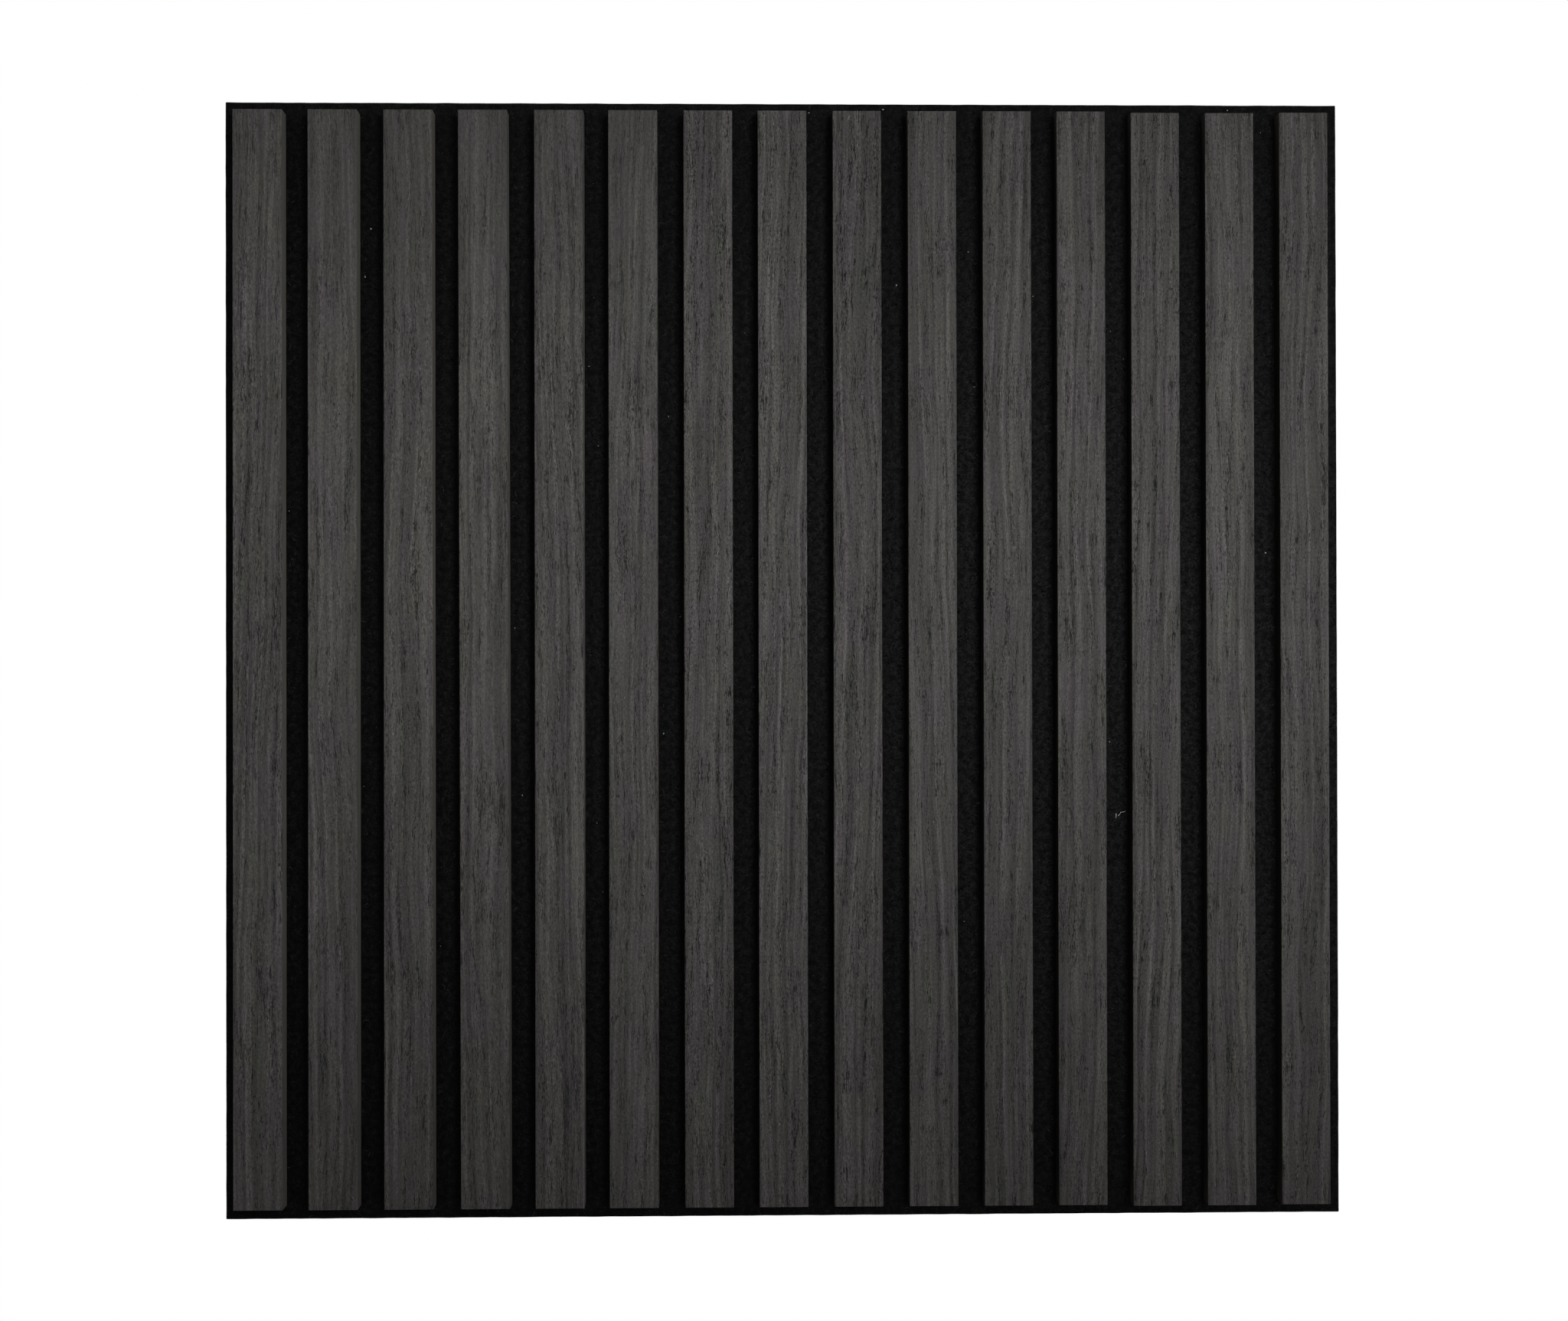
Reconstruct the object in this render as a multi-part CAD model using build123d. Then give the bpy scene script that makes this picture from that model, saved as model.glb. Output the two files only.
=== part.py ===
from build123d import *
import os

# Slatted acoustic panel, modelled upright as it is fixed to a wall.
# X runs across the slats, Z runs up along them, and the slats face -Y.
# The origin is the centre of the felt's back face, which lies on the wall.

# Felt backing, in millimetres
panel_width = 600.0
panel_height = 600.0
felt_thickness = 9.0

# Slats: a plain dark core with a wood veneer on its face
slat_width = 26.0
groove_width = 14.0
end_margin = 7.0            # bare felt above and below the slats
slat_thickness = 12.0       # core and veneer together
veneer_thickness = 0.6
veneer_arris = 0.3          # softened long edges of the face

# How the row of slats was laid on the felt
row_shift = -0.6            # whole row, along X
row_lift = 0.4              # whole row, along Z
low_slats = {13: 0.6, 14: 0.6, 15: 0.3}
slid_slats = {2: -0.2, 4: 0.2, 5: 0.3, 6: -0.2, 8: -0.3, 9: -0.2, 11: 0.2}    # along X
leaning_slats = {4: 0.1}    # degrees, with the foot to the right

# Staples driven through the felt into the back of each slat
staples_per_slat = 4
staple_end_distance = 40.0  # from a slat's end to its first staple
crown_width = 5.8
wire_thickness = 1.05
wire_width = 1.25
crown_sink = 0.8            # the crown is pressed this far into the felt
tip_cover = 3.6             # core left in front of the staple's tips
point_length = 1.2          # slanted end of each leg
crown_radius = 0.7          # outside of the bend between crown and leg

# Values that follow from the ones above
slat_pitch = slat_width + groove_width
slat_count = int((panel_width - slat_width) // slat_pitch) + 1
slat_numbers = range(1, slat_count + 1)
slat_length = panel_height - 2 * end_margin
core_thickness = slat_thickness - veneer_thickness
veneer_back = felt_thickness + core_thickness
leg_length = veneer_back - tip_cover - crown_sink
staple_step = (slat_length - 2 * staple_end_distance) / (staples_per_slat - 1)


def slab(width, depth, length, wall_distance):
    """A block centred on X and Z, its back this far in front of the wall."""
    centre_y = -wall_distance - depth / 2
    return Pos(0, centre_y, 0) * Box(width, depth, length)


def slat_place(number):
    """Where one slat lies in the row, counted from 1 at the left."""
    middle = (slat_count + 1) / 2
    x = row_shift + (number - middle) * slat_pitch + slid_slats.get(number, 0)
    z = row_lift - low_slats.get(number, 0)
    return Location((x, 0, z), (0, -leaning_slats.get(number, 0), 0))


def staple_places():
    """The staples' places along one slat, from its foot to its top."""
    first = -slat_length / 2 + staple_end_distance
    return [Pos(0, 0, first + step * staple_step) for step in range(staples_per_slat)]


def leg_outline(side):
    """One leg as seen along the slat, its point slanted on the outside."""
    outer = side * crown_width / 2
    inner = side * (crown_width / 2 - wire_thickness)
    top = -crown_sink
    tip = -crown_sink - leg_length
    corners = [(outer, top), (outer, tip + point_length), (inner, tip), (inner, top)]
    return make_face(Polyline(*corners, close=True))


def staple():
    """A staple bent from flat wire, its legs pointing at the slat's face."""
    crown_y = -crown_sink - wire_thickness / 2
    crown = Pos(0, crown_y) * Rectangle(crown_width, wire_thickness)
    shape = crown + leg_outline(-1) + leg_outline(1)
    bends = shape.vertices().group_by(Axis.Y)[-1].sort_by(Axis.X)
    shape = fillet([bends[0], bends[-1]], min(crown_radius, 0.9 * wire_thickness))
    return extrude(shape, wire_width / 2, both=True)


def staple_pocket():
    """What one staple takes out of the felt and the core, with its dent at the back."""
    crown_y = -(crown_sink + wire_thickness) / 2
    dent = Pos(0, crown_y) * Rectangle(crown_width, crown_sink + wire_thickness)
    shape = dent + leg_outline(-1) + leg_outline(1)
    return extrude(shape, wire_width / 2, both=True)


def slat_pockets():
    """The staple pockets of one slat, before it is laid in its place."""
    pocket = staple_pocket()
    return [place * pocket for place in staple_places()]


def slat_core(number):
    """The body of one slat, with the holes that its staples made in its back."""
    core = slab(slat_width, core_thickness, slat_length, felt_thickness)
    core -= slat_pockets()
    return slat_place(number) * core


def slat_veneer(number):
    """The veneer on one slat's face, its two long edges softened."""
    veneer = slab(slat_width, veneer_thickness, slat_length, veneer_back)
    face_edges = veneer.faces().sort_by(Axis.Y)[0].edges().filter_by(Axis.Z)
    veneer = fillet(face_edges, min(veneer_arris, 0.9 * veneer_thickness))
    return slat_place(number) * veneer


def felt_backing():
    """The felt sheet, pierced and dented by the staples."""
    felt = slab(panel_width, felt_thickness, panel_height, 0)
    felt -= [slat_place(n) * pocket for n in slat_numbers for pocket in slat_pockets()]
    return felt


def back_staples():
    """All the staples of the panel, as separate solids."""
    one = staple()
    driven = [slat_place(n) * place * one for n in slat_numbers for place in staple_places()]
    return Compound(children=[item.solid() for item in driven])


def save(shape, node):
    """Write one node to its own file."""
    shape.label = node
    export_step(shape, f"parts/{node}.step")


os.makedirs("parts", exist_ok=True)
save(felt_backing(), "felt_backing")
save(back_staples(), "back_staples")
for slat_number in slat_numbers:
    save(slat_core(slat_number), f"slat_core_{slat_number:02d}")
    save(slat_veneer(slat_number), f"slat_veneer_{slat_number:02d}")
print(slat_count, "slats,", round(slat_length, 2), "mm long; staple legs", round(leg_length, 2), "mm")
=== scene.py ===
import bpy
import math
import random
from mathutils import Matrix, Vector, noise


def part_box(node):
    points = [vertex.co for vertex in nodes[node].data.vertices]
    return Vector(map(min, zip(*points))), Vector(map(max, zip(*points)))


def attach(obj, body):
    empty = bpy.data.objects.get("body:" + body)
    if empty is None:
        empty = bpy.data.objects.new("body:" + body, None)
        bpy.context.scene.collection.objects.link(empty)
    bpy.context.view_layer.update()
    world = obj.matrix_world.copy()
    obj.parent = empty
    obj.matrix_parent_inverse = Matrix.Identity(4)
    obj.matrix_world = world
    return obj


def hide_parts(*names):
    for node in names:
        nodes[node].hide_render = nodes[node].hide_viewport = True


# A slatted acoustic panel: charcoal veneered slats on black felt, seen straight on.
# Metres throughout, except where a note says millimetres. The slats face -Y, and the felt's
# back lies at y = 0.
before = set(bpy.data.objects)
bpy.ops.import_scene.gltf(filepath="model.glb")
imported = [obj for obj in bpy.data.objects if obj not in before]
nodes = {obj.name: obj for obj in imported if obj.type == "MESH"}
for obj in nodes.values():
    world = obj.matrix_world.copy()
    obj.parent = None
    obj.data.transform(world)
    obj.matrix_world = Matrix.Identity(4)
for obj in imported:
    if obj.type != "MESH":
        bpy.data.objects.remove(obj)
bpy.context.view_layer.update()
mm = 0.001

veneerNames = sorted(name for name in nodes if name.startswith("slat_veneer"))
coreNames = sorted(name for name in nodes if name.startswith("slat_core"))
feltLow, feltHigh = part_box("felt_backing")
slatBoxes = [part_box(name) for name in veneerNames]
slatMiddles = [(low.x + high.x) / 2 for low, high in slatBoxes]
slatPitch = (slatMiddles[-1] - slatMiddles[0]) / (len(slatMiddles) - 1)
slatHalf = min(high.x - low.x for low, high in slatBoxes) / 2
slatTop = max(high.z for low, high in slatBoxes)
slatFoot = min(low.z for low, high in slatBoxes)
slatFace = min(low.y for low, high in slatBoxes)


# Small helpers for building materials

def addNode(tree, kind, inputs=None, **settings):
    node = tree.nodes.new("ShaderNode" + kind)
    for name, value in settings.items():
        setattr(node, name, value)
    for name, value in (inputs or {}).items():
        if isinstance(value, bpy.types.NodeSocket):
            tree.links.new(value, node.inputs[name])
        else:
            node.inputs[name].default_value = value
    return node


def calc(tree, operation, first, second=0.0):
    return addNode(tree, "Math", {0: first, 1: second}, operation=operation).outputs[0]


def multiply(tree, *factors):
    product = factors[0]
    for factor in factors[1:]:
        product = calc(tree, "MULTIPLY", product, factor)
    return product


def total(tree, *terms):
    result = terms[0]
    for term in terms[1:]:
        result = calc(tree, "ADD", result, term)
    return result


def remap(tree, value, low, high, newLow=0.0, newHigh=1.0, soft=False):
    kind = "SMOOTHSTEP" if soft else "LINEAR"
    limits = {"Value": value, "From Min": low, "From Max": high, "To Min": newLow, "To Max": newHigh}
    return addNode(tree, "MapRange", limits, interpolation_type=kind, clamp=True).outputs[0]


def vectorOf(tree, x, y, z):
    return addNode(tree, "CombineXYZ", {0: x, 1: y, 2: z}).outputs[0]


def stretch(tree, vector, factors):
    return addNode(tree, "VectorMath", {0: vector, 1: factors}, operation="MULTIPLY").outputs[0]


def enlarge(tree, vector, factor):
    return stretch(tree, vector, (factor, factor, factor))


def noiseOf(tree, vector, detail=2.0, roughness=0.5, distortion=0.0):
    inputs = {"Vector": vector, "Scale": 1.0, "Detail": detail, "Roughness": roughness,
              "Distortion": distortion}
    return addNode(tree, "TexNoise", inputs).outputs[0]


def swing(tree, noiseValue, amount):
    # Turns a noise value of about 0.5 into a shift to either side of 0
    return calc(tree, "MULTIPLY", calc(tree, "SUBTRACT", noiseValue, 0.5), amount)


def around(tree, noiseValue, amount):
    # Turns a noise value of about 0.5 into a factor of about 1
    return calc(tree, "ADD", swing(tree, noiseValue, amount), 1.0)


def changeWhere(tree, share, change):
    # A factor of 1 where the share is 0, and of 1 + change where it is 1
    return remap(tree, share, 0.0, 1.0, 1.0, 1.0 + change)


def blendOf(tree, share, first, second, kind="MIX"):
    node = addNode(tree, "Mix", data_type="RGBA", blend_type=kind)
    for socket, value in ((node.inputs[0], share), (node.inputs[6], first), (node.inputs[7], second)):
        if isinstance(value, bpy.types.NodeSocket):
            tree.links.new(value, socket)
        else:
            socket.default_value = value
    return node.outputs[2]


def shaded(tree, colour, level):
    grey = addNode(tree, "CombineColor", {0: level, 1: level, 2: level}).outputs[0]
    return blendOf(tree, 1.0, colour, grey, "MULTIPLY")


def addBump(tree, shader, height, strength, depth):
    bump = addNode(tree, "Bump", {"Height": height, "Strength": strength, "Distance": depth})
    tree.links.new(bump.outputs[0], shader.inputs["Normal"])


def placeInMm(tree):
    return enlarge(tree, addNode(tree, "TexCoord").outputs["Object"], 1 / mm)


def newMaterial(name, **fixed):
    material = bpy.data.materials.new(name)
    material.use_nodes = True
    tree = material.node_tree
    shader = tree.nodes["Principled BSDF"]
    for socket, value in fixed.items():
        shader.inputs[socket.replace("_", " ")].default_value = value
    return material, tree, shader


def dress(names, material):
    for name in names:
        nodes[name].data.materials.clear()
        nodes[name].data.materials.append(material)


# Where a point lies in the row of slats, in millimetres. Every slat reads its own stretch of
# the noise, found from its number, which is counted from 0 at the left.

noiseSpan = 90.0        # the slats' stretches are spread over this much of the noise


def slatPlace(tree):
    parts = addNode(tree, "SeparateXYZ", {0: placeInMm(tree)}).outputs
    steps = calc(tree, "DIVIDE", calc(tree, "SUBTRACT", parts[0], slatMiddles[0] / mm), slatPitch / mm)
    number = calc(tree, "ROUND", steps)
    across = calc(tree, "MULTIPLY", calc(tree, "SUBTRACT", steps, number), slatPitch / mm)
    seeds = addNode(tree, "TexWhiteNoise", {"W": number}, noise_dimensions="1D").outputs["Color"]
    seedParts = addNode(tree, "SeparateXYZ", {0: seeds}).outputs
    return {"number": number, "across": across, "along": parts[2], "depth": parts[1],
            "stretch": calc(tree, "MULTIPLY", seedParts[0], noiseSpan), "lean": seedParts[1]}


def onSlat(tree, place, slatNumber):
    # 1 on the slat with this number, counted from 1 at the left, and 0 on the others
    return calc(tree, "COMPARE", place["number"], slatNumber - 1.0)


# Charcoal veneer: long soft streaks, fine grain, short dark pores and a few pale flecks, partly pale raised
# fibre and partly painted highlight

veneer = {
    "colour": (0.0551, 0.0519, 0.0498, 1.0),
    "plum": (0.0574, 0.0513, 0.0528, 1.0),
    "olive": (0.0536, 0.0525, 0.0472, 1.0),
    "gloss": 0.12,
    "roughness": (0.60, 0.80),      # of the plain wood and of a pore
    "relief": {"strength": 0.6, "depth": 0.08 * mm, "grain": 0.5, "streak": 0.5},    # a pore counts 1
    "lean": 0.05,                   # how steeply the grain lines may run out at one side
    "waves": {      # width across, length along, reach in millimetres, shift in the noise, detail
        "sway": (60.0, 240.0, 10.0, 0.0, 1.0),
        "drift": (17.0, 90.0, 4.5, 5.0, 0.0),
        "ripple": (7.0, 22.0, 1.7, 11.0, 1.0),
    },
    "layers": {     # width across and length along in millimetres, shift in the noise, detail, roughness
        "cloud": (9.0, 120.0, 0.0, 1.0, 0.5),       # slow change of tone
        "band": (2.2, 600.0, 13.0, 1.0, 0.5),       # bands that run nearly the whole slat
        "streak": (1.5, 45.0, 26.0, 1.0, 0.5),
        "grain": (0.8, 9.0, 39.0, 1.5, 0.55),       # finer and shorter streaks between them
        "crowd": (3.0, 40.0, 52.0, 1.0, 0.5),       # where pores and flecks come in crowds
        "longPores": (0.38, 7.5, 65.0, 1.5, 0.5),
        "shortPores": (0.34, 2.4, 78.0, 1.5, 0.5),
        # pale flecks: partly raised fibre, partly painted highlight
        "flecksAndGlints": (0.50, 1.3, 91.0, 1.0, 0.5),
        "hue": (10.0, 40.0, 104.0, 2.0, 0.6),
        "plank": (4.2, 300.0, 117.0, 1.0, 0.5),     # wider bands with a clear edge on one side
        "mottle": (0.62, 1.4, 130.0, 1.0, 0.5),     # unevenness of the stain
        "shade": (4.5, 150.0, 143.0, 1.0, 0.5),     # a few long soft shadows
        "lively": (6.0, 80.0, 156.0, 1.0, 0.5),     # lively and calm stretches
    },
    "cuts": {       # the noise where a mark starts, and where it is full
        "plank": (0.47, 0.53), "shade": (0.64, 0.76), "lively": (0.36, 0.64),
        "longPores": (0.61, 0.67), "shortPores": (0.62, 0.68), "flecksAndGlints": (0.63, 0.74),
        "plum": (0.5, 0.66), "olive": (0.34, 0.5),
    },
    "strength": {"cloud": 0.45, "band": 1.25, "plank": 0.24, "streak": 0.8, "grain": 0.6, "mottle": 1.35},
    "change": {"shade": -0.26, "pores": -0.75, "flecksAndGlints": 0.60},      # what each mark does to the tone; the flecks lighten it as painted highlight
    "crowding": {"pores": 0.36, "flecksAndGlints": 0.18},    # how much more likely they are in a crowd
    "calm": (0.60, 1.30),           # the streaks' strength in calm and in lively stretches
    "tones": {1: 1.06, 6: 1.02, 7: 0.96, 8: 1.03, 9: 0.97, 11: 0.97, 14: 1.07, 15: 1.03},
    "vigour": {2: 0.88, 4: 0.92, 6: 0.92, 7: 1.16, 8: 1.10, 9: 1.10, 13: 1.15},    # grain of single slats
    # The first slats' grain calms towards the top, between these heights in millimetres
    "calmTop": {"slats": 6, "from": 175.0, "to": 240.0, "vigour": 0.76},
}

# Single marks, by the number of the slat: middle across and up in millimetres, half width,
# half length, degrees off the vertical, and what it does to the tone
marks = {
    "scratch": (2, 10.1, -285.9, 0.35, 2.9, -37.0, 0.55),
    "scratchShadow": (2, 9.3, -286.3, 0.35, 2.2, -37.0, -0.4),
    "nick": (4, 6.6, -290.7, 0.8, 0.9, 0.0, -0.6),
    "hook": (9, -4.4, 290.0, 0.3, 1.5, 25.0, 1.3),
    "hookEnd": (9, -3.9, 288.9, 0.7, 0.25, 0.0, 1.0),
    "fleckLow": (8, -2.6, -248.4, 0.35, 0.7, 10.0, 1.3),
    "fleckMiddle": (10, 0.1, -87.4, 0.35, 0.6, 0.0, 1.3),
    "fleckFoot": (13, -6.2, -265.2, 0.4, 0.6, 0.0, 1.2),
    "fleckLeft": (6, -4.8, -20.5, 0.4, 0.5, 0.0, 1.3),
}
markEdge = (0.4, 1.3)       # squared distances, in shares of the half sizes, between which a mark fades


def grainSpot(tree, place, line, width, length, shift):
    return vectorOf(tree, calc(tree, "DIVIDE", line, width), calc(tree, "DIVIDE", place["along"], length),
                    calc(tree, "ADD", place["stretch"], shift))


def grainLine(tree, place):
    # The grain lines sway slowly along a slat, ripple a little, and may run out at one side
    line = place["across"]
    for width, length, reach, shift, detail in veneer["waves"].values():
        wave = noiseOf(tree, grainSpot(tree, place, place["across"], width, length, shift), detail)
        line = calc(tree, "ADD", line, swing(tree, wave, reach))
    lean = swing(tree, place["lean"], veneer["lean"])
    return calc(tree, "ADD", line, calc(tree, "MULTIPLY", place["along"], lean))


def grainLayer(tree, place, line, name):
    width, length, shift, detail, roughness = veneer["layers"][name]
    return noiseOf(tree, grainSpot(tree, place, line, width, length, shift), detail, roughness)


def cutOut(tree, noiseValue, name, newLow=0.0, newHigh=1.0):
    return remap(tree, noiseValue, *veneer["cuts"][name], newLow, newHigh, soft=True)


def markLevel(tree, place, mark):
    # A small soft-edged oval on one slat, as a factor of the tone
    slatNumber, x, z, halfWidth, halfLength, lean, change = mark
    sine, cosine = math.sin(math.radians(lean)), math.cos(math.radians(lean))
    fromX = calc(tree, "SUBTRACT", place["across"], x)
    fromZ = calc(tree, "SUBTRACT", place["along"], z)
    side = total(tree, multiply(tree, fromX, cosine / halfWidth), multiply(tree, fromZ, -sine / halfWidth))
    end = total(tree, multiply(tree, fromX, sine / halfLength), multiply(tree, fromZ, cosine / halfLength))
    reach = total(tree, multiply(tree, side, side), multiply(tree, end, end))
    share = remap(tree, reach, *markEdge, 1.0, 0.0, soft=True)
    return changeWhere(tree, multiply(tree, share, onSlat(tree, place, slatNumber)), change)


def grainVigour(tree, place):
    # How strongly the grain of a slat is marked, as a factor
    calmTop = veneer["calmTop"]
    isLeft = calc(tree, "LESS_THAN", place["number"], calmTop["slats"] - 0.5)
    calm = multiply(tree, isLeft, remap(tree, place["along"], calmTop["from"], calmTop["to"], soft=True))
    vigour = changeWhere(tree, calm, calmTop["vigour"] - 1.0)
    for slatNumber, strength in veneer["vigour"].items():
        single = changeWhere(tree, onSlat(tree, place, slatNumber), strength - 1.0)
        vigour = multiply(tree, vigour, single)
    return vigour


def veneerTone(tree, place, layers, pores, flecksAndGlints):
    # All layers of the grain, and the flecks' painted highlights, as one factor of the colour
    strength, change = veneer["strength"], veneer["change"]
    lively = cutOut(tree, layers["lively"], "lively", *veneer["calm"])
    level = multiply(tree, around(tree, layers["cloud"], strength["cloud"]),
                     around(tree, layers["band"], strength["band"]),
                     around(tree, cutOut(tree, layers["plank"], "plank"), strength["plank"]),
                     around(tree, layers["streak"], multiply(tree, lively, strength["streak"])),
                     around(tree, layers["grain"], multiply(tree, lively, strength["grain"])),
                     around(tree, layers["mottle"], strength["mottle"]),
                     changeWhere(tree, cutOut(tree, layers["shade"], "shade"), change["shade"]),
                     changeWhere(tree, pores, change["pores"]),
                     changeWhere(tree, flecksAndGlints, change["flecksAndGlints"]))
    unevenness = multiply(tree, calc(tree, "SUBTRACT", level, 1.0), grainVigour(tree, place))
    level = calc(tree, "ADD", unevenness, 1.0)
    for mark in marks.values():
        level = multiply(tree, level, markLevel(tree, place, mark))
    for slatNumber, tone in veneer["tones"].items():
        level = multiply(tree, level, changeWhere(tree, onSlat(tree, place, slatNumber), tone - 1.0))
    return level


def veneerMaterial():
    material, tree, shader = newMaterial("charcoalVeneer", Specular_IOR_Level=veneer["gloss"])
    place = slatPlace(tree)
    line = grainLine(tree, place)
    layers = {name: grainLayer(tree, place, line, name) for name in veneer["layers"] if name != "hue"}

    # Pores come in crowds along some grain lines, and other stretches are calm
    poreCrowd = swing(tree, layers["crowd"], veneer["crowding"]["pores"])
    longPores = cutOut(tree, total(tree, layers["longPores"], poreCrowd), "longPores")
    shortPores = cutOut(tree, total(tree, layers["shortPores"], poreCrowd), "shortPores")
    pores = calc(tree, "MAXIMUM", longPores, shortPores)
    # Pale flecks, partly raised fibre and partly painted highlight, crowd where the pores crowd
    fleckAndGlintCrowd = swing(tree, layers["crowd"], veneer["crowding"]["flecksAndGlints"])
    flecksAndGlints = cutOut(tree, total(tree, layers["flecksAndGlints"], fleckAndGlintCrowd), "flecksAndGlints")

    # The stain leans to plum where the hue's noise is high, and to olive where it is low
    hue = grainLayer(tree, place, place["across"], "hue")
    tint = blendOf(tree, remap(tree, hue, *veneer["cuts"]["plum"]), veneer["colour"], veneer["plum"])
    tint = blendOf(tree, remap(tree, hue, *veneer["cuts"]["olive"], 1.0, 0.0), tint, veneer["olive"])
    tone = veneerTone(tree, place, layers, pores, flecksAndGlints)
    tree.links.new(shaded(tree, tint, tone), shader.inputs["Base Color"])

    relief = veneer["relief"]
    height = calc(tree, "SUBTRACT", multiply(tree, layers["grain"], relief["grain"]), pores)
    height = total(tree, height, multiply(tree, layers["streak"], relief["streak"]))
    addBump(tree, shader, height, relief["strength"], relief["depth"])
    tree.links.new(remap(tree, pores, 0.0, 1.0, *veneer["roughness"]), shader.inputs["Roughness"])
    return material


# Plain dark fibreboard: the slats' sides, backs and sawn ends

board = {
    "colour": (0.0980, 0.0915, 0.0830, 1.0),
    "roughness": 0.85,
    "chips": 0.6,                       # pressed wood fibres, under a millimetre
    "chipsPerMm": (2.2, 2.2, 1.1),
    "cloud": 0.4,                       # uneven dye
    "cloudsPerMm": (0.1, 0.1, 0.03),
    "relief": {"strength": 0.5, "depth": 0.06 * mm},
}


def boardMaterial():
    matt = {"Roughness": board["roughness"], "Specular_IOR_Level": 0.0}
    material, tree, shader = newMaterial("dyedFibreboard", **matt)
    place = slatPlace(tree)
    across = calc(tree, "ADD", place["across"], place["stretch"])
    spot = vectorOf(tree, across, place["depth"], place["along"])
    chips = noiseOf(tree, stretch(tree, spot, board["chipsPerMm"]), detail=3.0, roughness=0.65)
    cloud = noiseOf(tree, stretch(tree, spot, board["cloudsPerMm"]))
    level = multiply(tree, around(tree, chips, board["chips"]), around(tree, cloud, board["cloud"]))
    tree.links.new(shaded(tree, board["colour"], level), shader.inputs["Base Color"])
    addBump(tree, shader, chips, board["relief"]["strength"], board["relief"]["depth"])
    return material


# Black needled felt: soft tufts, paler curled strands and small pits, darkened in colour as painted shade.
# The fibres' own gloss is broad and carries most of what the black felt sends back.

felt = {
    "colour": (0.0011, 0.0011, 0.0011, 1.0),
    "gloss": 0.036,
    "roughness": (0.2, 2.2, 0.62, 0.47),    # tone from, to, and the roughness there
    "layers": {     # repeats per millimetre, detail, roughness, distortion
        "patch": (0.10, 2.0, 0.5, 0.0),     # where the pits gather
        "tufts": (0.32, 2.0, 0.6, 0.0),     # soft mottling
        "wisps": (1.1, 2.0, 0.6, 0.0),      # finer mottling
        "winding": (0.42, 1.0, 0.5, 1.6),   # curled strands run where it passes its middle value
        "shadedPits": (0.75, 1.0, 0.5, 0.6),
    },
    "tufts": (0.38, 0.68, 0.0, 2.7),        # noise from, to, and the tone there
    "wisps": (0.37, 0.65, 0.1, 2.4),
    "strandWidth": 0.03,
    "strandTufts": (0.5, 0.7),              # strands lie only where the tufts' noise is high
    "pitCut": (0.66, 0.80),
    "pitPatches": 0.25,                     # how much the pits keep to patches
    "change": {"strands": 1.6, "shadedPits": -0.85},      # what each does to the tone; the pits' darkening is painted shade
    # How high each stands, where a pit counts 1
    "relief": {"strength": 0.8, "depth": 0.45 * mm, "tufts": 0.6, "wisps": 0.4, "strands": 0.3},
}


def feltMaterial():
    material, tree, shader = newMaterial("needledFelt", Specular_IOR_Level=felt["gloss"])
    place = placeInMm(tree)
    layers = {name: noiseOf(tree, enlarge(tree, place, repeats), *grade)
              for name, (repeats, *grade) in felt["layers"].items()}
    tufts, wisps = layers["tufts"], layers["wisps"]
    ridge = calc(tree, "ABSOLUTE", calc(tree, "SUBTRACT", layers["winding"], 0.5))
    strands = multiply(tree, remap(tree, ridge, 0.0, felt["strandWidth"], 1.0, 0.0, soft=True),
                       remap(tree, tufts, *felt["strandTufts"]))
    pitSize = total(tree, layers["shadedPits"], swing(tree, layers["patch"], felt["pitPatches"]))
    shadedPits = remap(tree, pitSize, *felt["pitCut"], soft=True)

    # The pits are sunk by the bump and also darkened in the colour: painted shade in the pits
    level = multiply(tree, remap(tree, tufts, *felt["tufts"]), remap(tree, wisps, *felt["wisps"]),
                     changeWhere(tree, strands, felt["change"]["strands"]),
                     changeWhere(tree, shadedPits, felt["change"]["shadedPits"]))
    tree.links.new(shaded(tree, felt["colour"], level), shader.inputs["Base Color"])
    tree.links.new(remap(tree, level, *felt["roughness"]), shader.inputs["Roughness"])

    relief = felt["relief"]
    raised = total(tree, multiply(tree, tufts, relief["tufts"]), multiply(tree, wisps, relief["wisps"]),
                   multiply(tree, strands, relief["strands"]))
    addBump(tree, shader, calc(tree, "SUBTRACT", raised, shadedPits), relief["strength"], relief["depth"])
    return material


# Galvanised staple wire, rubbed along its length

staple = {
    "colour": (0.60, 0.60, 0.58, 1.0),
    "rub": 0.5,
    "rubsPerMm": (0.9, 3.0, 9.0),
    "roughness": (0.3, 0.7, 0.28, 0.48),    # noise from, to, and the roughness there
}


def stapleMaterial():
    material, tree, shader = newMaterial("galvanisedWire", Metallic=1.0)
    rub = noiseOf(tree, stretch(tree, placeInMm(tree), staple["rubsPerMm"]), detail=3.0)
    colour = shaded(tree, staple["colour"], around(tree, rub, staple["rub"]))
    tree.links.new(colour, shader.inputs["Base Color"])
    tree.links.new(remap(tree, rub, *staple["roughness"]), shader.inputs["Roughness"])
    return material


dress(veneerNames, veneerMaterial())
dress(coreNames, boardMaterial())
dress(["back_staples"], stapleMaterial())
feltLook = feltMaterial()
dress(["felt_backing"], feltLook)
print("stage: the panel's own pieces are dressed")


# The felt sheet itself: rounded, slightly uneven cut edges, a low swell in each groove,
# and a dimple round every staple at the back

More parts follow.
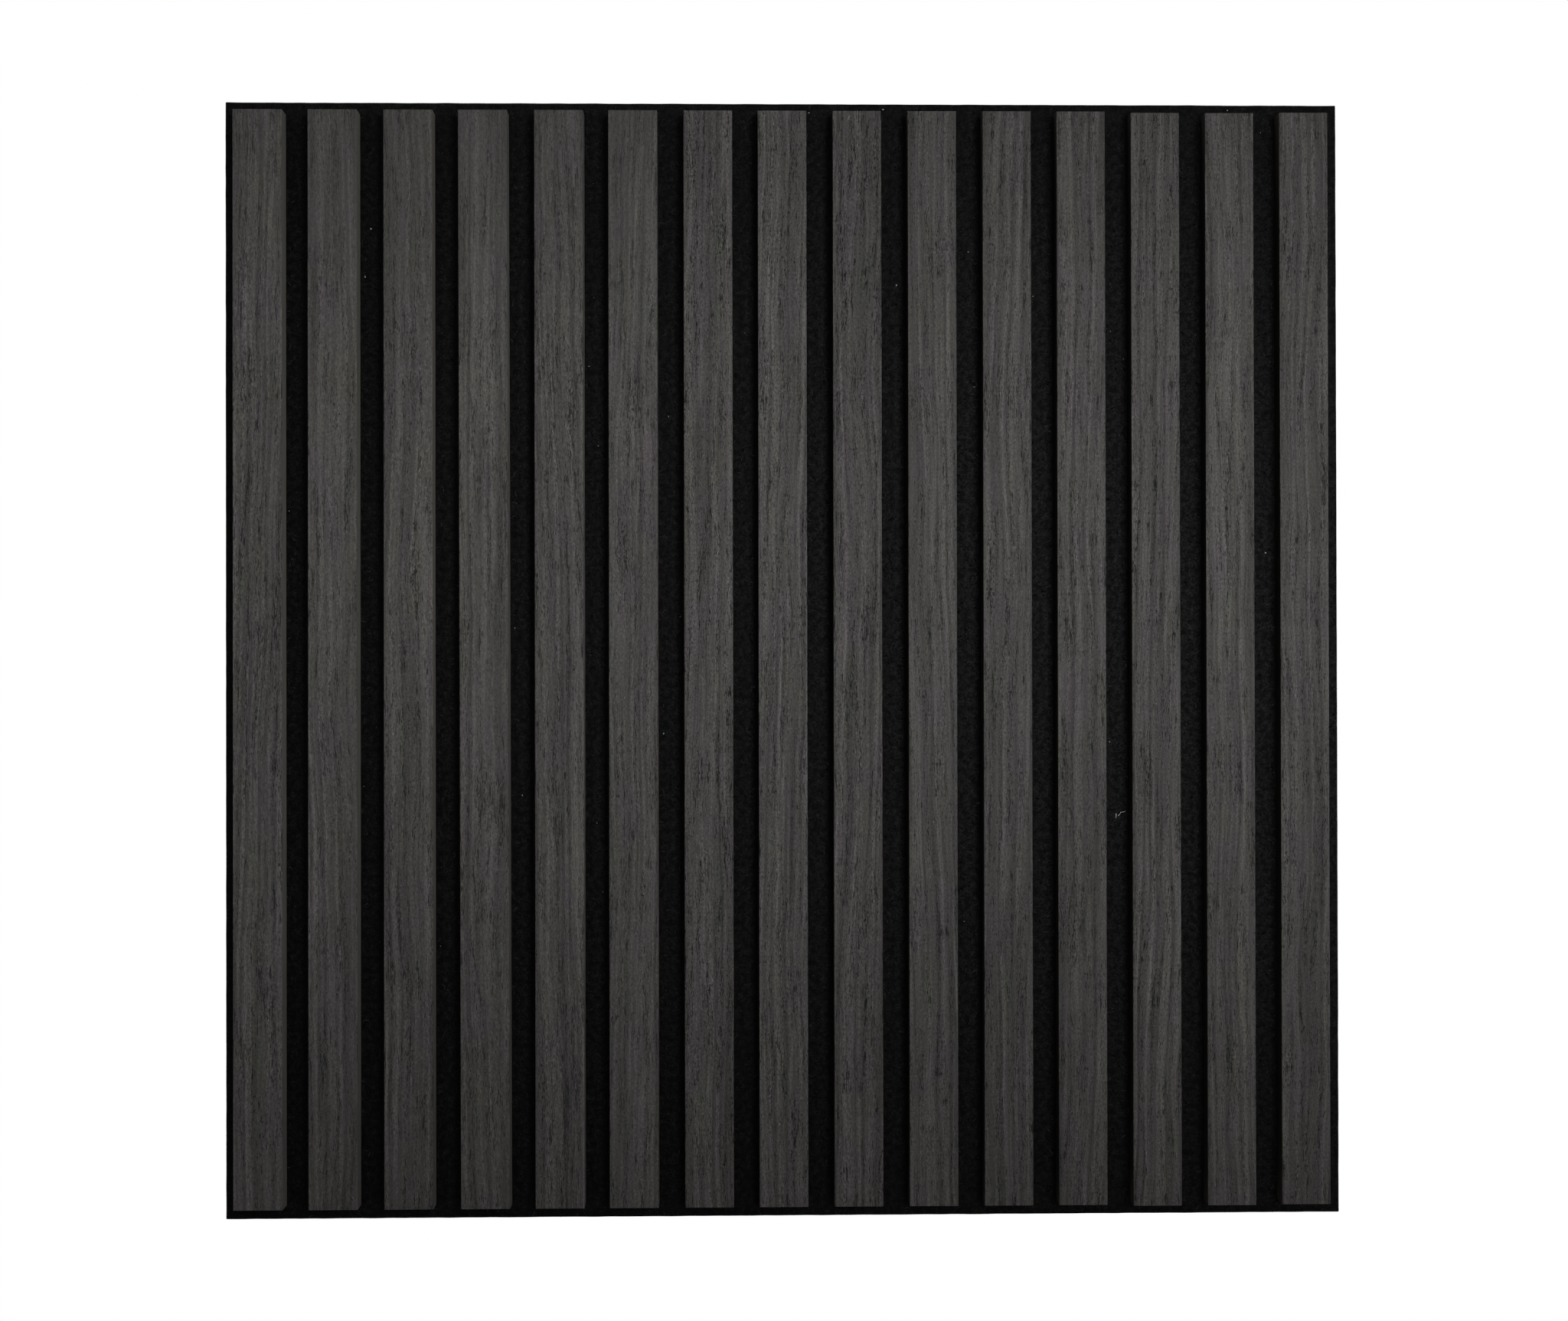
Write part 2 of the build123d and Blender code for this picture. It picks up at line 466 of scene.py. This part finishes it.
sheet = {
    "edgeRound": 0.5 * mm, "roundSegments": 3,
    "rowStep": 6.0 * mm,
    "stapleRings": (2.0 * mm, 4.0 * mm, 6.5 * mm, 9.5 * mm),
    "stapleReach": 10 * mm,         # vertices nearer than this belong to one staple
    "dimpleDepth": 1.45 * mm, "dimpleRadius": 4.5 * mm,
    "swell": 0.3 * mm,              # how far the felt stands up in a groove
    "waver": 0.12 * mm, "waverReach": 5.0 * mm,         # the cut edges' waver, and how far in it reaches
    "waverLength": 9.0 * mm, "waverThrough": 4 * mm,    # its length along an edge and through the felt
    "waverInward": 0.4,             # share of the waver by which the edges lie further in
    "unevenness": 0.12 * mm, "unevenLength": 11 * mm,
    "smoothAngle": 60,
}


def staplePlaces():
    # The staples are one node, so their vertices are sorted by where they lie
    places = []
    for vertex in nodes["back_staples"].data.vertices:
        spot = Vector((vertex.co.x, 0, vertex.co.z))
        near = [group for group in places if (group[0] - spot).length < sheet["stapleReach"]]
        if near:
            near[0].append(spot)
        else:
            places.append([spot])
    return [sum(group, Vector()) / len(group) for group in places]


def cutAcross(places, normal):
    for place in sorted(set(round(place, 4) for place in places)):
        bpy.ops.mesh.select_all(action="SELECT")
        bpy.ops.mesh.bisect(plane_co=Vector(normal) * place, plane_no=normal)


def makeFeltSheet():
    bpy.ops.object.select_all(action="DESELECT")
    middle = (feltLow + feltHigh) / 2
    bpy.ops.mesh.primitive_cube_add(size=1, location=middle)
    piece = bpy.context.object
    piece.name = "feltSheet"
    piece.scale = feltHigh - feltLow
    bpy.ops.object.transform_apply(location=True, rotation=True, scale=True)
    rounding = piece.modifiers.new("rounding", "BEVEL")
    rounding.width = sheet["edgeRound"]
    rounding.segments = sheet["roundSegments"]
    bpy.ops.object.modifier_apply(modifier=rounding.name)

    staples = staplePlaces()
    rings = [0.0] + [side * ring for ring in sheet["stapleRings"] for side in (-1, 1)]
    grooveLines = [slatHalf, (slatHalf + slatPitch / 2) / 2, slatPitch / 2]
    columns = [x + offset for x in slatMiddles for offset in rings]
    columns += [x + side * line for x in slatMiddles for line in grooveLines for side in (-1, 1)]
    levels = sorted({round(place.z, 3) for place in staples})
    rowCount = int((feltHigh.z - feltLow.z) / sheet["rowStep"])
    rows = [feltLow.z + sheet["rowStep"] * step for step in range(1, rowCount)]
    rows += [level + offset for level in levels for offset in rings]
    bpy.ops.object.mode_set(mode="EDIT")
    cutAcross(rows, (0, 0, 1))
    cutAcross(columns, (1, 0, 0))
    bpy.ops.object.mode_set(mode="OBJECT")
    shapeFelt(piece, middle, staples)
    bpy.ops.object.shade_smooth_by_angle(angle=math.radians(sheet["smoothAngle"]))
    return piece


def shapeFelt(piece, middle, staples):
    half = (feltHigh - feltLow) / 2
    for vertex in piece.data.vertices:
        spot = vertex.co.copy()
        for axis, other in ((0, 2), (2, 0)):
            edgeDistance = half[axis] - abs(spot[axis] - middle[axis])
            hold = max(0.0, 1 - edgeDistance / sheet["waverReach"])
            side = math.copysign(1.0, spot[axis] - middle[axis])
            ownStretch = 7.3 * side + 3 * axis      # gives each of the four edges its own waver
            wave = noise.noise(Vector((spot[other] / sheet["waverLength"], ownStretch,
                                       spot.y / sheet["waverThrough"])))
            vertex.co[axis] += side * hold * sheet["waver"] * (wave - sheet["waverInward"])
        roughness = noise.noise(spot / sheet["unevenLength"]) * sheet["unevenness"]
        if spot.y < middle.y:
            number = round((spot.x - slatMiddles[0]) / slatPitch)
            across = abs(spot.x - slatMiddles[0] - number * slatPitch)
            inGroove = max(0.0, (across - slatHalf) / (slatPitch / 2 - slatHalf))
            vertex.co.y -= inGroove * (sheet["swell"] + roughness)
        else:
            near = min((Vector((spot.x, 0, spot.z)) - place).length for place in staples)
            dip = math.exp(-(near / sheet["dimpleRadius"]) ** 2)
            vertex.co.y -= dip * sheet["dimpleDepth"] + abs(roughness)


feltSheet = makeFeltSheet()
feltSheet.data.materials.append(feltLook)
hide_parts("felt_backing")
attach(feltSheet, "root")
print("stage: felt sheet,", len(feltSheet.data.polygons), "faces")


# Loose fibres standing off the felt, made from a few curled templates

fibres = {
    "thickness": 0.16 * mm,
    "curls": ((2.2 * mm, 70.0, 4), (1.3 * mm, 140.0, 5), (4.0 * mm, 45.0, 4)),   # radius, degrees, steps
    # Degrees that a fibre may stand off the felt, and its size as a share of its template
    "front": {"seed": 11, "count": 3600, "tilt": 14, "sizes": (0.5, 1.1)},
    "back": {"seed": 12, "count": 2200, "tilt": 6, "sizes": (0.5, 1.1)},
    "edge": {"seed": 13, "count": 1500, "tilt": 90, "sizes": (0.3, 0.6)},
    "inGrooves": 0.93,              # share of the front's fibres that lie between the slats
    "grooveLift": 0.15 * mm, "marginSink": 0.05 * mm, "backSink": 0.16 * mm, "edgeSink": 0.15 * mm,
    "colour": (0.022, 0.022, 0.022, 1.0),
    "spreadOfTone": 1.6, "tonesPerMm": 0.35,
}


def curlTemplate(radius, turn, steps):
    # A triangle spun about Y into a short curved strand that lies in the XZ plane
    bpy.ops.object.select_all(action="DESELECT")
    bpy.ops.mesh.primitive_circle_add(vertices=3, radius=fibres["thickness"] / 2, fill_type="NGON",
                                      location=(radius, 0, 0))
    strand = bpy.context.object
    bpy.ops.object.transform_apply(location=True, rotation=True, scale=True)
    bpy.ops.object.mode_set(mode="EDIT")
    bpy.ops.mesh.select_all(action="SELECT")
    bpy.ops.mesh.spin(steps=steps, angle=math.radians(turn), center=(0, 0, 0), axis=(0, 1, 0))
    bpy.ops.mesh.select_all(action="SELECT")
    bpy.ops.mesh.remove_doubles(threshold=0.001 * mm)
    bpy.ops.mesh.normals_make_consistent(inside=False)
    bpy.ops.object.mode_set(mode="OBJECT")
    corners = [vertex.co.copy() for vertex in strand.data.vertices]
    middle = sum(corners, Vector()) / len(corners)
    faces = [tuple(face.vertices) for face in strand.data.polygons]
    bpy.data.objects.remove(strand)
    return [corner - middle for corner in corners], faces


def scatter(name, templates, places, material):
    # One piece made of many turned and sized copies of the templates
    corners, faces = [], []
    for template, matrix in places:
        first = len(corners)
        corners += [matrix @ corner for corner in templates[template][0]]
        faces += [tuple(first + index for index in face) for face in templates[template][1]]
    mesh = bpy.data.meshes.new(name)
    mesh.from_pydata(corners, [], faces)
    piece = bpy.data.objects.new(name, mesh)
    bpy.context.collection.objects.link(piece)
    mesh.materials.append(material)
    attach(piece, "root")


def anyTurn(dice, tilt):
    spin = Matrix.Rotation(dice.uniform(0, math.tau), 4, "Y")
    lift = Matrix.Rotation(math.radians(dice.uniform(-tilt, tilt)), 4, "X")
    return Matrix.Rotation(dice.uniform(0, math.tau), 4, "Y") @ lift @ spin


def between(dice, low, high, margin):
    return dice.uniform(low + margin, high - margin)


def frontSpot(dice):
    # Mostly in the grooves between the slats, the rest on the bare margin above and below
    if dice.random() < fibres["inGrooves"]:
        groove = dice.randrange(len(slatMiddles) - 1)
        x = slatMiddles[groove] + dice.uniform(slatHalf, slatPitch - slatHalf)
        return Vector((x, feltLow.y - fibres["grooveLift"], between(dice, feltLow.z, feltHigh.z, 1.5 * mm)))
    low, high = dice.choice(((feltLow.z, slatFoot), (slatTop, feltHigh.z)))
    x = between(dice, feltLow.x, feltHigh.x, 1.5 * mm)
    return Vector((x, feltLow.y + fibres["marginSink"], between(dice, low, high, 1.2 * mm)))


def backSpot(dice):
    x = between(dice, feltLow.x, feltHigh.x, 2 * mm)
    return Vector((x, feltHigh.y - fibres["backSink"], between(dice, feltLow.z, feltHigh.z, 2 * mm)))


def edgeSpot(dice):
    y = between(dice, feltLow.y, feltHigh.y, 0.8 * mm)
    inset = fibres["edgeSink"]
    if dice.random() < 0.5:
        x = dice.choice((feltLow.x + inset, feltHigh.x - inset))
        return Vector((x, y, between(dice, feltLow.z, feltHigh.z, 1 * mm)))
    z = dice.choice((feltLow.z + inset, feltHigh.z - inset))
    return Vector((between(dice, feltLow.x, feltHigh.x, 1 * mm), y, z))


def fibrePlaces(plan, spotOf):
    dice = random.Random(plan["seed"])
    places = []
    for step in range(plan["count"]):
        size = Matrix.Scale(dice.uniform(*plan["sizes"]), 4)
        turned = Matrix.Translation(spotOf(dice)) @ anyTurn(dice, plan["tilt"]) @ size
        places.append((dice.randrange(len(fibres["curls"])), turned))
    return places


def fibreMaterial():
    material, tree, shader = newMaterial("looseFibre", Roughness=0.7, Specular_IOR_Level=0.2)
    tone = noiseOf(tree, enlarge(tree, placeInMm(tree), fibres["tonesPerMm"]))
    level = around(tree, tone, fibres["spreadOfTone"])
    tree.links.new(shaded(tree, fibres["colour"], level), shader.inputs["Base Color"])
    return material


curlTemplates = [curlTemplate(*curl) for curl in fibres["curls"]]
fibreLook = fibreMaterial()
for side, spotOf in (("front", frontSpot), ("back", backSpot), ("edge", edgeSpot)):
    scatter(side + "Fibres", curlTemplates, fibrePlaces(fibres[side], spotOf), fibreLook)
print("stage: loose fibres")


# Specks of pale lint caught on the felt, and one hair

lint = {
    "places": (         # millimetres across and up from the panel's middle
        (-222, 232), (-225, 206), (-56, 212), (-16, 234), (-21, 176), (-102, 195), (-105, 158),
        (-62, 131), (-100, 115), (-59, 90), (-266, 80), (-56, 23), (-145, 17), (54, 297), (14, 295),
        (100, 220), (61, 202), (135, 196), (103, 147), (177, 177), (184, 162), (144, 123), (66, 49),
        (259, 285), (241, 297), (261, 57), (-65, -40), (-226, -68), (-141, -73), (-101, -88),
        (-98, -125), (-185, -154), (-16, -15), (176, -45), (105, -78), (97, -142),
    ),
    "seed": 21,
    "strands": 4,                   # short curls tangled into one speck
    "curl": 1, "size": 0.32,        # which template, and its size as a share of it
    "sizeSpread": (0.7, 1.3),
    "scatter": 0.12 * mm,
    "lift": 0.15 * mm,
    "hair": {"place": (181.4, -84.0), "step": (2.0, 1.1), "turns": (25, 60, 95), "curl": 2, "size": 0.8},
    "colour": (0.70, 0.69, 0.67, 1.0),
    "spreadOfTone": 1.5, "tonesPerMm": 0.2,
}


def lintMaterial():
    material, tree, shader = newMaterial("paleLint", Roughness=0.9, Specular_IOR_Level=0.1)
    tone = noiseOf(tree, enlarge(tree, placeInMm(tree), lint["tonesPerMm"]), detail=1.0)
    level = around(tree, tone, lint["spreadOfTone"])
    tree.links.new(shaded(tree, lint["colour"], level), shader.inputs["Base Color"])
    return material


def lintPlaces():
    dice = random.Random(lint["seed"])
    places = []
    surface = feltLow.y - sheet["swell"] - lint["lift"]
    for x, z in lint["places"]:
        for strand in range(lint["strands"]):
            size = Matrix.Scale(lint["size"] * dice.uniform(*lint["sizeSpread"]), 4)
            turn = Matrix.Rotation(dice.uniform(0, math.tau), 4, "X") @ anyTurn(dice, 90)
            aside, upward = dice.gauss(0, lint["scatter"]), dice.gauss(0, lint["scatter"])
            spot = Vector((x * mm + aside, surface, z * mm + upward))
            places.append((lint["curl"], Matrix.Translation(spot) @ turn @ size))

    hair = lint["hair"]
    size = Matrix.Scale(hair["size"], 4)
    for step, turn in enumerate(hair["turns"], start=-1):
        x, z = (middle + step * stride for middle, stride in zip(hair["place"], hair["step"]))
        bend = Matrix.Rotation(math.radians(turn), 4, "Y")
        places.append((hair["curl"], Matrix.Translation((x * mm, surface, z * mm)) @ bend @ size))
    return places


scatter("lint", curlTemplates, lintPlaces(), lintMaterial())
print("stage: lint")


# The studio: a tall softbox in front and to the right, soft lamps behind, a pale floor

# The softbox is lit as two halves, each aimed at a point across and up on the slats' faces
softbox = {
    "x": 0.42, "y": -1.32, "width": 0.44, "height": 0.32,
    "upper": {"z": 0.30, "aim": (-0.43, 0.047), "spread": 48.0, "power": 1.48},
    "lower": {"z": 0.0, "aim": (0.41, 0.120), "spread": 65.0, "power": 2.05},
}
# Soft lamps behind the felt's plane, for the back, the sides and the top: place, size, power, spread
rearLamps = {
    "back": ((0.7, 1.5, 0.8), 0.8, 4.5, 60.0),
    "right": ((1.5, 0.30, 0.2), 0.7, 1.3, 50.0),
    "left": ((-1.5, 0.30, 0.2), 0.7, 1.3, 50.0),
    "top": ((0.0, 0.35, 1.5), 0.7, 1.0, 50.0),
}


def areaLamp(name, place, aim, width, height, power, spread):
    data = bpy.data.lights.new(name, "AREA")
    data.shape = "RECTANGLE"
    data.size = width
    data.size_y = height
    data.energy = power
    data.spread = math.radians(spread)
    lamp = bpy.data.objects.new(name, data)
    lamp.location = place
    lamp.rotation_euler = (Vector(aim) - Vector(place)).to_track_quat("-Z", "Y").to_euler()
    bpy.context.collection.objects.link(lamp)


for half in ("upper", "lower"):
    part = softbox[half]
    place = (softbox["x"], softbox["y"], part["z"])
    aim = (part["aim"][0], slatFace, part["aim"][1])
    areaLamp("softbox_" + half, place, aim, softbox["width"], softbox["height"],
             part["power"], part["spread"])
for side, (place, size, power, spread) in rearLamps.items():
    areaLamp("rearLamp_" + side, place, (0, 0, 0), size, size, power, spread)


# A white world for the camera, for reflections and for light let through, but not for plain light

world = bpy.data.worlds.new("whiteStudio")
bpy.context.scene.world = world
world.use_nodes = True
worldTree = world.node_tree
rays = addNode(worldTree, "LightPath").outputs
seen = calc(worldTree, "MAXIMUM", rays["Is Camera Ray"], rays["Is Glossy Ray"])
seen = calc(worldTree, "MAXIMUM", seen, rays["Is Transmission Ray"])
background = worldTree.nodes["Background"]
background.inputs["Color"].default_value = (1.0, 1.0, 1.0, 1.0)
worldTree.links.new(seen, background.inputs["Strength"])

floorPlan = {
    "radius": 1.85, "corners": 96, "drop": 0.62,
    "glow": 0.80, "fadeFrom": 0.5,      # the glow under the panel, and where it starts to fade to white
    "colour": (0.60, 0.60, 0.60, 1.0),
}


def floorMaterial():
    # The camera sees the floor nearly white; the object only gets the plain bounce
    material, tree, shader = newMaterial("paleFloor", Roughness=0.9, Specular_IOR_Level=0.0)
    shader.inputs["Base Color"].default_value = floorPlan["colour"]
    fromMiddle = stretch(tree, addNode(tree, "TexCoord").outputs["Object"], (1.0, 1.0, 0.0))
    distance = addNode(tree, "VectorMath", {0: fromMiddle}, operation="LENGTH").outputs["Value"]
    fade = remap(tree, distance, floorPlan["fadeFrom"], floorPlan["radius"], floorPlan["glow"], 1.0,
                 soft=True)
    glow = calc(tree, "MULTIPLY", fade, addNode(tree, "LightPath").outputs["Is Camera Ray"])
    shader.inputs["Emission Color"].default_value = (1.0, 1.0, 1.0, 1.0)
    tree.links.new(glow, shader.inputs["Emission Strength"])
    return material


bpy.ops.object.select_all(action="DESELECT")
bpy.ops.mesh.primitive_circle_add(vertices=floorPlan["corners"], radius=floorPlan["radius"], fill_type="NGON",
                                  location=(0, 0, feltLow.z - floorPlan["drop"]))
floor = bpy.context.object
floor.name = "floor"
floor.data.materials.append(floorMaterial())


# The camera, at the photograph's viewing angle

camera = {
    "place": (-0.0261, -1.2571, -0.0075),
    "pitch": 0.308, "yaw": 1.192, "roll": 0.113,    # degrees
    "lens": 53.1, "sensor": 36.0,                   # millimetres
}
cameraData = bpy.data.cameras.new("camera")
cameraData.lens = camera["lens"]
cameraData.sensor_width = camera["sensor"]
cameraObject = bpy.data.objects.new("camera", cameraData)
cameraObject.location = camera["place"]
cameraObject.rotation_euler = (math.radians(90 + camera["pitch"]), math.radians(camera["roll"]),
                               math.radians(-camera["yaw"]))
bpy.context.collection.objects.link(cameraObject)
bpy.context.scene.camera = cameraObject
bpy.context.scene.view_settings.view_transform = "Standard"
print("stage: lights, floor and camera are set")
